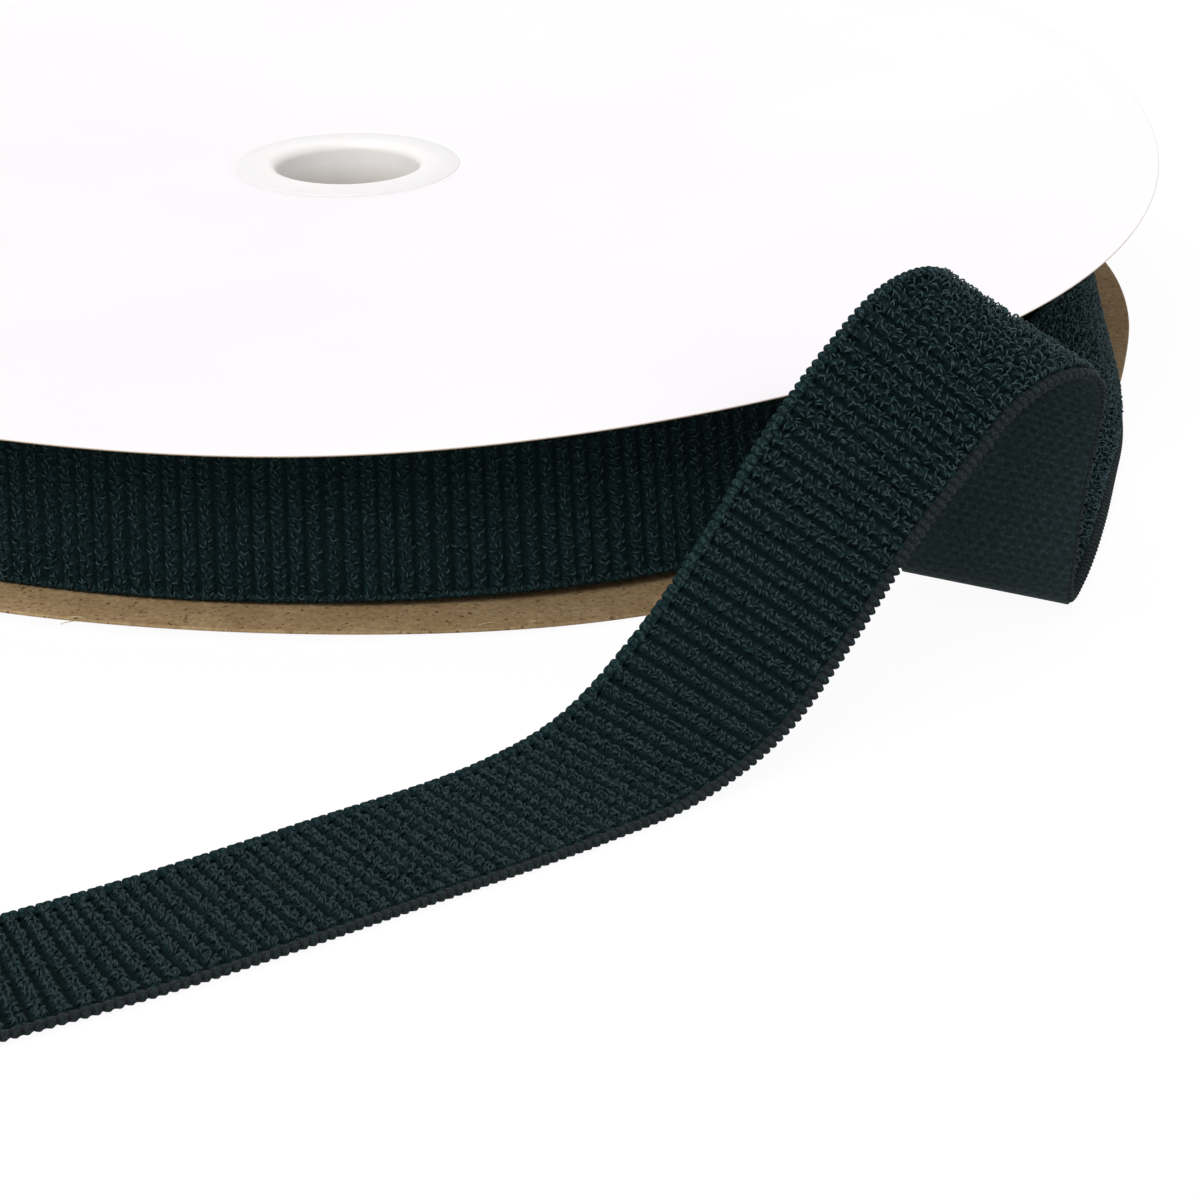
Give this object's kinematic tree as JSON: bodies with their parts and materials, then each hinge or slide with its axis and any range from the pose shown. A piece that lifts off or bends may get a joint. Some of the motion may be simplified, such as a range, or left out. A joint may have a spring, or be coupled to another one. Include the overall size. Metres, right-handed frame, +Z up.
{
  "type": "hook tape roll",
  "caption": "Roll of black hook tape between two round paperboard flanges on a plastic hub, with a length of tape paid out, folded over and run out flat on the table.",
  "frame": {"origin": "on the reel's axis, on the surface that the reel lies on", "axes": "+Z up along the reel's axis; -Y is the side that the tape folds and runs out on, towards the picture's camera"},
  "size_m": [0.28, 0.3811, 0.0546],
  "materials": {
    "hub": "satin, slightly translucent moulded polypropylene",
    "core_board": "matt wound paperboard",
    "board": "matt grey-brown chipboard with pale fibres",
    "liner": "smooth white paper facing",
    "pack": "matt black wound nylon tape",
    "hook_tape": "black nylon hook tape, rows of fine hooks"
  },
  "bodies": {
    "tape": {"outer_wrap": "hook_tape", "free_tape": "hook_tape"},
    "reel": {"upper_hub": "hub", "lower_hub": "hub", "core_tube": "core_board", "top_flange_board": "board", "top_flange_liner": "liner", "bottom_flange_board": "board", "bottom_flange_liner": "liner", "tape_pack": "pack"}
  },
  "joints": [
    {"name": "reel_spin", "type": "hinge", "parent": "tape", "child": "reel", "pos_m": [0, 0, 0.015], "axis": [0, 0, 1], "continuous": true}
  ]
}
